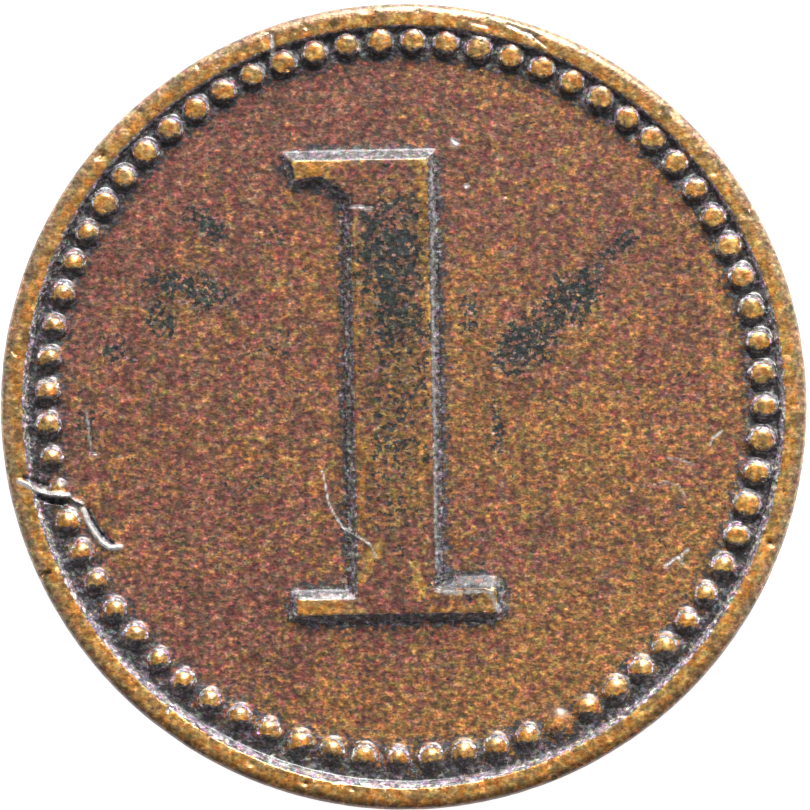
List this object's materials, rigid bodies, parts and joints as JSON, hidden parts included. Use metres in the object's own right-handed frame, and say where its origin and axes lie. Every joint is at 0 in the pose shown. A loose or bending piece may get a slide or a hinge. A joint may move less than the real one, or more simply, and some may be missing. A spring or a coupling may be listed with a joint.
{
  "type": "transit token",
  "caption": "Round struck bronze fare token with raised rims, a border of round beads and a slab-serif numeral on both faces.",
  "frame": {"origin": "centre of the plane that the reverse rim rests on", "axes": "+Z out of the face shown, along the thickness; +Y towards the top of the numeral; +X to the reader's right"},
  "size_m": [0.024, 0.024, 0.0018],
  "materials": {
    "bronze": "worn patinated bronze: red-brown toned field, golden rubbed rim and bead tops, black dirt in the recesses"
  },
  "bodies": {
    "root": {"struck_token": "bronze"}
  },
  "joints": []
}
